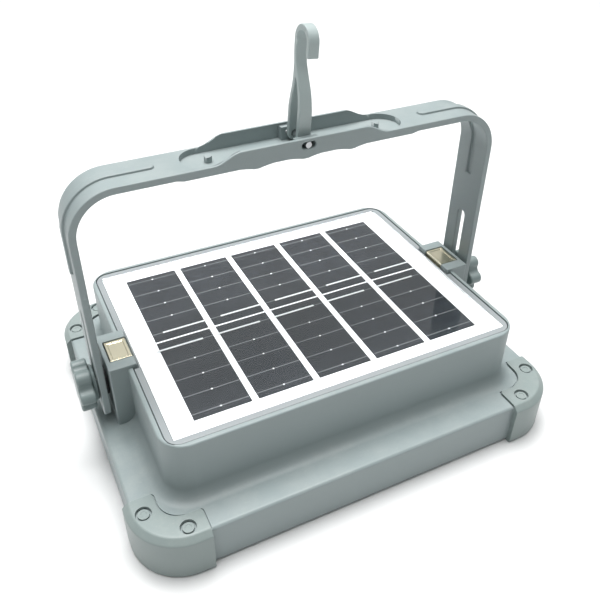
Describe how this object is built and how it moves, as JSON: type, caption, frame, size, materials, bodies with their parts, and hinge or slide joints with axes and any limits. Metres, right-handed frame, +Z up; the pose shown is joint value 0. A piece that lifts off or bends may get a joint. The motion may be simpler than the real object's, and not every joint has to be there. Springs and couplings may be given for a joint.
{
  "type": "solar flood light",
  "caption": "Portable solar flood light lying on its lens: solar panel on the back, tilting bail handle with star knobs, holding magnets and a folding hook.",
  "frame": {"origin": "on the floor under the middle of the base, the light lying on its lens side", "axes": "+X along the light from pivot to pivot, +Z up through the solar panel, -Y towards the side the hook opens to"},
  "size_m": [0.247, 0.1926, 0.2139],
  "materials": {
    "housing_plastic": "fine moulded texture, cool grey",
    "bumper_plastic": "satin moulded plastic, cool grey",
    "handle_plastic": "satin moulded plastic, cool grey",
    "hook_plastic": "satin moulded plastic, cool grey",
    "knob_plastic": "satin moulded plastic, cool grey",
    "bezel_plastic": "satin moulded plastic, cool grey",
    "dark_plastic": "fine moulded texture",
    "black_plastic": "moulded plastic",
    "white_plastic": "bright white reflector",
    "black_rubber": "soft matt rubber",
    "clear_lens": "clear polycarbonate",
    "clear_cover": "glossy clear laminate",
    "white_sheet": "white laminate",
    "silicon": "dark mono silicon with fine fingers and busbars",
    "tinned_ribbon": "tinned copper",
    "board_aluminium": "white solder mask on aluminium",
    "led_yellow": "phosphor",
    "steel": "plated steel",
    "magnet_metal": "nickel-plated magnet",
    "gold_plating": "pale gold plating on steel",
    "brass": "machined",
    "battery_wrap": "shrink sleeve",
    "circuit_green": "solder mask",
    "light_pipe": "frosted light pipe",
    "red_lead": "wire sleeve",
    "white_lead": "wire sleeve",
    "button_orange": "soft button"
  },
  "bodies": {
    "light": {"rear_housing": "housing_plastic", "front_frame": "dark_plastic", "lens_cover": "clear_lens", "lens_gasket": "black_rubber", "reflector_tray": "white_plastic", "led_board": "board_aluminium", "led_chips": "led_yellow", "case_screws": "steel", "panel_bezel": "bezel_plastic", "panel_backsheet": "white_sheet", "solar_cells": "silicon", "cell_ribbons": "tinned_ribbon", "panel_cover": "clear_cover", "bumper_front_left": "bumper_plastic", "bumper_front_right": "bumper_plastic", "bumper_back_left": "bumper_plastic", "bumper_back_right": "bumper_plastic", "bumper_screws": "bumper_plastic", "magnet_left": "magnet_metal", "magnet_right": "magnet_metal", "magnet_cup_left": "gold_plating", "magnet_cup_right": "gold_plating", "battery_cells": "battery_wrap", "battery_cradle": "black_plastic", "nickel_strips": "steel", "control_board": "circuit_green", "board_components": "black_plastic", "board_screws": "steel", "usb_ports": "steel", "tact_switch": "black_plastic", "charge_lights": "light_pipe", "panel_lead": "red_lead", "led_lead": "white_lead", "battery_lead": "black_rubber", "pivot_nut_left": "brass", "pivot_nut_right": "brass"},
    "pivot_bushes": {"pivot_bush_left": "black_plastic", "pivot_bush_right": "black_plastic"},
    "bail": {"handle": "handle_plastic"},
    "hook_axle": {"hook_pin": "steel"},
    "hanging_hook": {"hook": "hook_plastic"},
    "left_knob": {"knob_left": "knob_plastic", "knob_bolt_left": "steel"},
    "right_knob": {"knob_right": "knob_plastic", "knob_bolt_right": "steel"},
    "button": {"power_button": "button_orange"},
    "port_flap": {"port_cover": "black_rubber"}
  },
  "joints": [
    {"name": "bail_tilt", "type": "hinge", "parent": "light", "child": "pivot_bushes", "pos_m": [0, 0, 0.047], "axis": [1, 0, 0], "range_deg": [-92, 92]},
    {"name": "bail_slide", "type": "slide", "parent": "pivot_bushes", "child": "bail", "axis": [0, 0, 1], "range_m": [-0.0022, 0.0045]},
    {"name": "hook_slide", "type": "slide", "parent": "bail", "child": "hook_axle", "axis": [1, 0, 0], "range_m": [-0.002, 0.002]},
    {"name": "hook_fold", "type": "hinge", "parent": "hook_axle", "child": "hanging_hook", "pos_m": [0.0015, 0, 0.1609], "axis": [0, 1, 0], "range_deg": [-93.4, 86.6]},
    {"name": "knob_left_turn", "type": "hinge", "parent": "light", "child": "left_knob", "pos_m": [-0.115, 0, 0.047], "axis": [1, 0, 0], "continuous": true},
    {"name": "knob_right_turn", "type": "hinge", "parent": "light", "child": "right_knob", "pos_m": [0.115, 0, 0.047], "axis": [1, 0, 0], "continuous": true},
    {"name": "button_press", "type": "slide", "parent": "light", "child": "button", "axis": [0, -1, 0], "range_m": [0, 0.0008], "stiffness_N_per_m": 600},
    {"name": "flap_open", "type": "hinge", "parent": "light", "child": "port_flap", "pos_m": [0.016, 0.0751, 0.0515], "axis": [1, 0, 0], "range_deg": [0, 110]}
  ]
}
